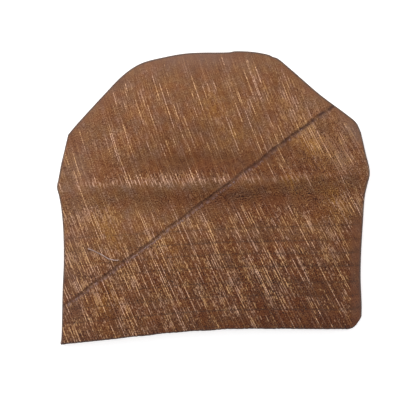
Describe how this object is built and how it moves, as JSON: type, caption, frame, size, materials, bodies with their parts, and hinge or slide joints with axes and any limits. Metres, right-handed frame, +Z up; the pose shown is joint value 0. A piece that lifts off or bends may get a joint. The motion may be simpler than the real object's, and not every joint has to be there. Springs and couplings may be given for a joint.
{
  "type": "aso oke cap",
  "caption": "Soft brimless cap of woven strip cloth with a bias seam and a stitched band, pressed flat and lying on its back.",
  "frame": {"origin": "under the middle of the cap's outline, on the surface that it lies on", "axes": "+X across the cap to its rolled side fold, +Y from the mouth to the crown, +Z up, out of the front"},
  "size_m": [0.297, 0.278, 0.0256],
  "materials": {
    "strip_cloth": "brown handwoven strip cloth with broken gold metal threads, matt between them",
    "facing_cloth": "plain brown backing cloth, matt"
  },
  "bodies": {
    "root": {"cloth_shell": "strip_cloth", "band_facing": "facing_cloth"}
  },
  "joints": []
}
